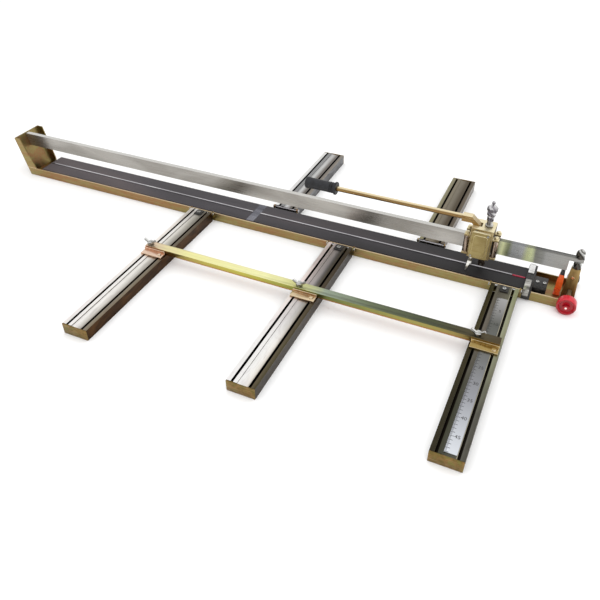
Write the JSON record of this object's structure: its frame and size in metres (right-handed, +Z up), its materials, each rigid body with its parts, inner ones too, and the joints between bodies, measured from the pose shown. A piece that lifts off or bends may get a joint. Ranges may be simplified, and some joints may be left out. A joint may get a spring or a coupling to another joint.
{
  "type": "manual tile cutter",
  "caption": "Long manual tile cutter: steel tray with rubber pads, rail-guided lever carriage with scoring wheel, folding slotted side arms and sliding fence.",
  "frame": {"origin": "under the middle of the whole tool's footprint, on the surface it stands on", "axes": "+X along the cut towards the wheeled end, +Y to the rear arms, +Z up"},
  "size_m": [1.719, 1.0366, 0.2186],
  "materials": {
    "zinc_steel": "yellow zinc passivated, slightly iridescent",
    "carriage_zinc": "yellow zinc on a casting, satin",
    "polished_steel": "ground and polished",
    "chrome": "bright",
    "arm_aluminium": "brushed",
    "cap_zinc": "yellow zinc passivated, olive",
    "pad_rubber": "matt",
    "black_paint": "satin",
    "wheel_red": "gloss",
    "rib_red": "satin",
    "lever_orange": "satin"
  },
  "bodies": {
    "base": {"base_tray": "zinc_steel", "end_post": "zinc_steel", "guide_rail": "polished_steel", "rail_end_stud": "chrome", "rail_left_bolt": "chrome", "front_pad": "pad_rubber", "rear_pad": "pad_rubber", "breaking_rib_left": "polished_steel", "breaking_rib_right": "polished_steel", "rib_red_end": "rib_red", "centre_strip": "polished_steel", "stop_saddle": "black_paint", "stop_plate_front": "arm_aluminium", "stop_plate_rear": "arm_aluminium", "stop_clamp_block": "black_paint", "wheel_axle": "chrome", "lever_clevis": "black_paint", "front_arm_left_hinge_bolt": "polished_steel", "front_arm_centre_hinge_bolt": "polished_steel", "front_arm_right_hinge_bolt": "polished_steel", "rear_arm_left_hinge_bolt": "polished_steel", "rear_arm_right_hinge_bolt": "polished_steel"},
    "carriage": {"carriage_block": "carriage_zinc", "carriage_cover_front": "carriage_zinc", "carriage_cover_rear": "carriage_zinc", "turret_neck": "chrome", "lever_pivot_pin": "chrome"},
    "lever": {"lever_fork": "carriage_zinc", "lever_rod": "carriage_zinc", "lever_grip": "pad_rubber"},
    "adjuster": {"adjuster_knob": "chrome"},
    "holder": {"wheel_holder": "polished_steel", "scoring_wheel_pin": "chrome"},
    "cutting_wheel": {"scoring_wheel": "chrome"},
    "foot": {"breaking_foot": "arm_aluminium"},
    "front_frame": {"front_arm_left_profile": "arm_aluminium", "front_arm_centre_profile": "arm_aluminium", "front_arm_right_profile": "arm_aluminium", "front_arm_left_cap": "cap_zinc", "front_arm_centre_cap": "cap_zinc", "front_arm_right_cap": "cap_zinc", "arm_ruler": "polished_steel"},
    "rear_arm_left": {"rear_arm_left_profile": "arm_aluminium", "rear_arm_left_cap": "cap_zinc"},
    "rear_arm_right": {"rear_arm_right_profile": "arm_aluminium", "rear_arm_right_cap": "cap_zinc"},
    "fence": {"fence_bar": "zinc_steel", "fence_clamp_left": "zinc_steel", "fence_clamp_centre": "zinc_steel", "fence_clamp_right": "zinc_steel"},
    "knob_left": {"clamp_knob_left": "chrome"},
    "knob_centre": {"clamp_knob_centre": "chrome"},
    "knob_right": {"clamp_knob_right": "chrome"},
    "wheel_front": {"transport_wheel_front": "wheel_red"},
    "wheel_rear": {"transport_wheel_rear": "pad_rubber"},
    "lock_lever": {"lock_lever": "lever_orange"},
    "roller_front_left": {"guide_roller_front_left": "polished_steel"},
    "roller_front_right": {"guide_roller_front_right": "polished_steel"},
    "roller_rear_left": {"guide_roller_rear_left": "polished_steel"},
    "roller_rear_right": {"guide_roller_rear_right": "polished_steel"}
  },
  "joints": [
    {"name": "carriage_travel", "type": "slide", "parent": "base", "child": "carriage", "axis": [1, 0, 0], "range_m": [-1.34, 0.06]},
    {"name": "lever_lift", "type": "hinge", "parent": "carriage", "child": "lever", "pos_m": [0.59496, 0.094, 0.1415], "axis": [0, 1, 0], "range_deg": [0, 48]},
    {"name": "foot_lift", "type": "slide", "parent": "carriage", "child": "foot", "axis": [0, 0, 1], "range_m": [0, 0.008]},
    {"name": "depth_slide", "type": "slide", "parent": "carriage", "child": "holder", "axis": [0, 0, 1], "range_m": [-0.0015, 0.0015]},
    {"name": "depth_knob", "type": "hinge", "parent": "carriage", "child": "adjuster", "pos_m": [0.61896, 0.094, 0.178], "axis": [0, 0, 1], "range_deg": [-360, 360]},
    {"name": "cutting_wheel_spin", "type": "hinge", "parent": "holder", "child": "cutting_wheel", "pos_m": [0.61896, 0.094, 0.0382], "axis": [0, 1, 0], "continuous": true},
    {"name": "front_arms_fold", "type": "hinge", "parent": "base", "child": "front_frame", "pos_m": [0.25897, 0.037, 0.024], "axis": [-1, 0, 0], "range_deg": [0, 90]},
    {"name": "rear_arm_left_fold", "type": "hinge", "parent": "base", "child": "rear_arm_left", "pos_m": [0.04247, 0.151, 0.024], "axis": [1, 0, 0], "range_deg": [0, 90]},
    {"name": "rear_arm_right_fold", "type": "hinge", "parent": "base", "child": "rear_arm_right", "pos_m": [0.47547, 0.151, 0.024], "axis": [1, 0, 0], "range_deg": [0, 90]},
    {"name": "fence_slide", "type": "slide", "parent": "front_frame", "child": "fence", "axis": [0, 1, 0], "range_m": [-0.28, 0.08]},
    {"name": "wheel_front_spin", "type": "hinge", "parent": "base", "child": "wheel_front", "pos_m": [0.83696, 0.0295, 0.0235], "axis": [0, 1, 0], "continuous": true},
    {"name": "wheel_rear_spin", "type": "hinge", "parent": "base", "child": "wheel_rear", "pos_m": [0.83996, 0.1545, 0.016], "axis": [0, 1, 0], "continuous": true},
    {"name": "lock_lever_tilt", "type": "hinge", "parent": "base", "child": "lock_lever", "pos_m": [0.80997, 0.097, 0.016], "axis": [0, -1, 0], "range_deg": [0, 35]},
    {"name": "knob_left_turn", "type": "hinge", "parent": "fence", "child": "knob_left", "pos_m": [-0.19503, -0.1815, 0.045], "axis": [0, 0, 1], "range_deg": [-180, 180]},
    {"name": "knob_centre_turn", "type": "hinge", "parent": "fence", "child": "knob_centre", "pos_m": [0.23797, -0.1815, 0.045], "axis": [0, 0, 1], "range_deg": [-180, 180]},
    {"name": "knob_right_turn", "type": "hinge", "parent": "fence", "child": "knob_right", "pos_m": [0.67097, -0.1815, 0.045], "axis": [0, 0, 1], "range_deg": [-180, 180]},
    {"name": "roller_front_left_spin", "type": "hinge", "parent": "carriage", "child": "roller_front_left", "pos_m": [0.57396, 0.08035, 0.0968], "axis": [0, 0, 1], "continuous": true},
    {"name": "roller_front_right_spin", "type": "hinge", "parent": "carriage", "child": "roller_front_right", "pos_m": [0.64397, 0.08035, 0.0968], "axis": [0, 0, 1], "continuous": true},
    {"name": "roller_rear_left_spin", "type": "hinge", "parent": "carriage", "child": "roller_rear_left", "pos_m": [0.57396, 0.10765, 0.0968], "axis": [0, 0, 1], "continuous": true},
    {"name": "roller_rear_right_spin", "type": "hinge", "parent": "carriage", "child": "roller_rear_right", "pos_m": [0.64397, 0.10765, 0.0968], "axis": [0, 0, 1], "continuous": true}
  ],
  "couplings": [
    {"joint": "foot_lift", "follows": "lever_lift", "m_per_rad": 0.0095},
    {"joint": "depth_knob", "follows": "depth_slide", "rad_per_m": 4184.6},
    {"joint": "roller_front_left_spin", "follows": "carriage_travel", "rad_per_m": 139.86},
    {"joint": "roller_front_right_spin", "follows": "carriage_travel", "rad_per_m": 139.86},
    {"joint": "roller_rear_left_spin", "follows": "carriage_travel", "rad_per_m": -139.86},
    {"joint": "roller_rear_right_spin", "follows": "carriage_travel", "rad_per_m": -139.86}
  ]
}
